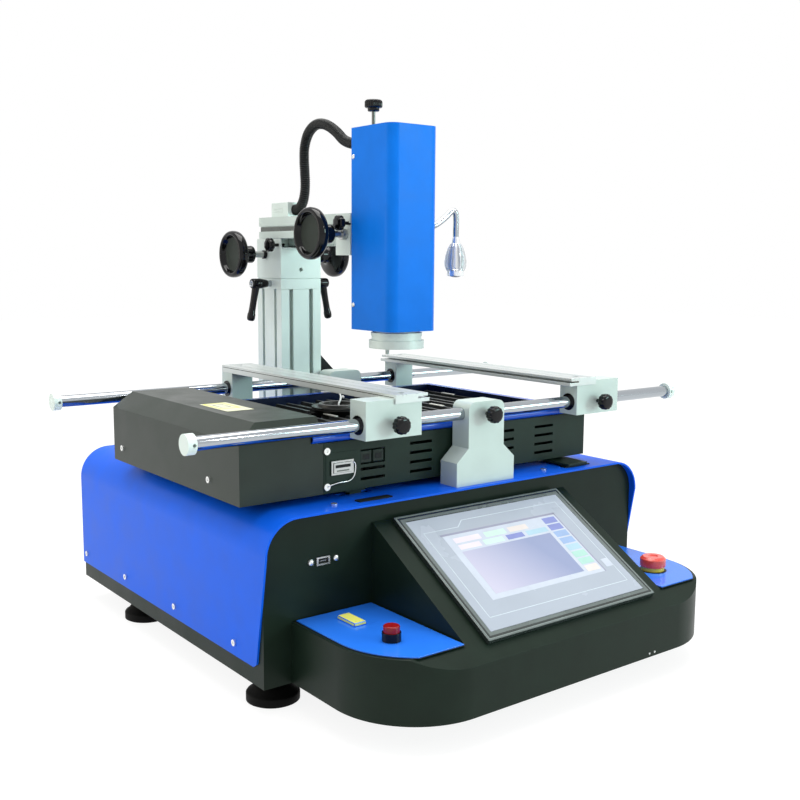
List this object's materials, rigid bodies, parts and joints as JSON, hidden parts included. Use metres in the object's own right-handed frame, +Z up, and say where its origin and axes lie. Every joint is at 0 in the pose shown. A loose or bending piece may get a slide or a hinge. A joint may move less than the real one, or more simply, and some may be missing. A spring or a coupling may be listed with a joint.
{
  "type": "soldering station",
  "caption": "Bench soldering and rework station: hot-air head on a column and rack-driven arm, over a sliding infrared preheater with two board clamps on chrome rods and a screen console.",
  "frame": {"origin": "centre of the whole station's footprint, on the surface that the feet stand on", "axes": "+X to the operator's right, along the chrome rods; +Y away from the operator; +Z up"},
  "size_m": [0.65, 0.5996, 0.5945],
  "materials": {
    "dark_paint": "satin dark grey powder coat",
    "blue_paint": "satin bright blue powder coat",
    "head_blue": "satin azure blue powder coat",
    "silver": "fine blasted, clear anodised",
    "chrome_rod": "polished",
    "steel": "plated",
    "black_gloss": "gloss black",
    "black_matte": "matt black",
    "foot_rubber": "matt black",
    "hose_rubber": "corrugated, half gloss",
    "bezel": "fine grained grey",
    "overlay": "printed overlay over a screen",
    "yellow": "gloss yellow",
    "red": "gloss red",
    "board_green": "solder mask",
    "heater": "dark glazed ceramic",
    "dark_steel": "heat-darkened steel",
    "lens": "dark lens"
  },
  "bodies": {
    "base": {"chassis": "dark_paint", "top_cover": "blue_paint", "case_screws": "steel", "feet": "foot_rubber", "console": "dark_paint", "deck_panels": "blue_paint", "screen_bezel": "bezel", "screen_glass": "overlay", "probe_socket": "yellow", "button_collar": "black_gloss", "estop_base": "yellow", "data_port": "steel", "power_inlet": "black_matte", "power_supply": "steel", "control_board": "board_green", "rail_posts": "silver", "column": "silver", "column_gusset": "black_matte", "saddle": "silver"},
    "start_key": {"start_button": "red"},
    "stop_key": {"estop_button": "red"},
    "preheater": {"heater_tray": "dark_paint", "end_cover": "dark_paint", "heater_frame": "blue_paint", "ir_heaters": "heater", "lower_nozzle": "dark_steel", "tray_connector": "steel", "tray_screws": "steel"},
    "rod_set": {"rods": "chrome_rod", "rod_caps": "silver"},
    "clamp_left": {"bar_left": "silver", "blocks_left": "silver", "sleeves_left": "black_matte"},
    "clamp_right": {"bar_right": "silver", "blocks_right": "silver", "sleeves_right": "black_matte"},
    "knob_left": {"lock_knob_left": "black_gloss"},
    "knob_right": {"lock_knob_right": "black_gloss"},
    "knob_front": {"rod_lock_front": "black_gloss"},
    "knob_rear": {"rod_lock_rear": "black_gloss"},
    "arm": {"arm_beam": "silver", "cable_box": "silver", "head_carrier": "silver"},
    "reach": {"reach_shaft": "steel", "reach_wheels": "black_gloss"},
    "arm_screw": {"arm_lock": "black_gloss"},
    "lift_screw": {"lift_lock": "black_gloss"},
    "grip_left": {"lever_left": "black_gloss"},
    "grip_right": {"lever_right": "black_gloss"},
    "head": {"head_shell": "head_blue", "head_slide": "steel", "air_core": "steel", "nozzle": "silver", "hose_collar": "hose_rubber", "air_hose": "hose_rubber"},
    "lift": {"lift_shaft": "steel", "lift_wheel": "black_gloss"},
    "head_knob": {"top_knob": "black_gloss"},
    "light": {"lamp": "chrome_rod", "lamp_lens": "lens"}
  },
  "joints": [
    {"name": "start_press", "type": "slide", "parent": "base", "child": "start_key", "axis": [0, 0, -1], "range_m": [0, 0.004], "stiffness_N_per_m": 400},
    {"name": "stop_press", "type": "slide", "parent": "base", "child": "stop_key", "axis": [0, 0, -1], "range_m": [0, 0.004], "stiffness_N_per_m": 900},
    {"name": "preheater_shift", "type": "slide", "parent": "base", "child": "preheater", "axis": [1, 0, 0], "range_m": [-0.01, 0.01]},
    {"name": "rod_shift", "type": "slide", "parent": "base", "child": "rod_set", "axis": [1, 0, 0], "range_m": [-0.02, 0.02]},
    {"name": "clamp_left_slide", "type": "slide", "parent": "rod_set", "child": "clamp_left", "axis": [1, 0, 0], "range_m": [-0.12, 0.035]},
    {"name": "clamp_right_slide", "type": "slide", "parent": "rod_set", "child": "clamp_right", "axis": [1, 0, 0], "range_m": [-0.03, 0.085]},
    {"name": "knob_left_turn", "type": "hinge", "parent": "clamp_left", "child": "knob_left", "pos_m": [-0.109, -0.12928, 0.261], "axis": [0, -1, 0], "range_deg": [0, 360]},
    {"name": "knob_right_turn", "type": "hinge", "parent": "clamp_right", "child": "knob_right", "pos_m": [0.1815, -0.12928, 0.261], "axis": [0, -1, 0], "range_deg": [0, 360]},
    {"name": "knob_front_turn", "type": "hinge", "parent": "base", "child": "knob_front", "pos_m": [0.012, -0.12928, 0.261], "axis": [0, -1, 0], "range_deg": [0, 360]},
    {"name": "knob_rear_turn", "type": "hinge", "parent": "base", "child": "knob_rear", "pos_m": [0.058, 0.19623, 0.261], "axis": [0, 1, 0], "range_deg": [0, 360]},
    {"name": "arm_reach", "type": "slide", "parent": "base", "child": "arm", "axis": [0, 1, 0], "range_m": [-0.03, 0.1]},
    {"name": "reach_turn", "type": "hinge", "parent": "base", "child": "reach", "pos_m": [0.008, 0.24923, 0.424], "axis": [1, 0, 0], "range_deg": [-600, 200]},
    {"name": "arm_screw_turn", "type": "hinge", "parent": "base", "child": "arm_screw", "pos_m": [-0.022, 0.21823, 0.436], "axis": [-1, 0, 0], "range_deg": [0, 360]},
    {"name": "lift_screw_turn", "type": "hinge", "parent": "arm", "child": "lift_screw", "pos_m": [-0.022, 0.06223, 0.4598], "axis": [-1, 0, 0], "range_deg": [0, 360]},
    {"name": "head_lift", "type": "slide", "parent": "arm", "child": "head", "axis": [0, 0, 1], "range_m": [-0.02, 0.06], "deforming": ["air_hose"]},
    {"name": "lift_turn", "type": "hinge", "parent": "arm", "child": "lift", "pos_m": [0.008, 0.06822, 0.4473], "axis": [1, 0, 0], "range_deg": [-500, 200]},
    {"name": "head_knob_turn", "type": "hinge", "parent": "head", "child": "head_knob", "pos_m": [-0.01, 0.02923, 0.565], "axis": [0, 0, 1], "range_deg": [0, 360]},
    {"name": "light_tilt", "type": "hinge", "parent": "head", "child": "light", "pos_m": [0.042, 0.01622, 0.457], "axis": [1, 0, 0], "range_deg": [-30, 30]},
    {"name": "grip_left_turn", "type": "hinge", "parent": "base", "child": "grip_left", "pos_m": [-0.022, 0.23822, 0.387], "axis": [1, 0, 0], "range_deg": [-45, 45]},
    {"name": "grip_right_turn", "type": "hinge", "parent": "base", "child": "grip_right", "pos_m": [0.038, 0.23822, 0.387], "axis": [1, 0, 0], "range_deg": [-45, 45]}
  ],
  "couplings": [
    {"joint": "reach_turn", "follows": "arm_reach", "rad_per_m": -96.665},
    {"joint": "lift_turn", "follows": "head_lift", "rad_per_m": -133.69}
  ]
}
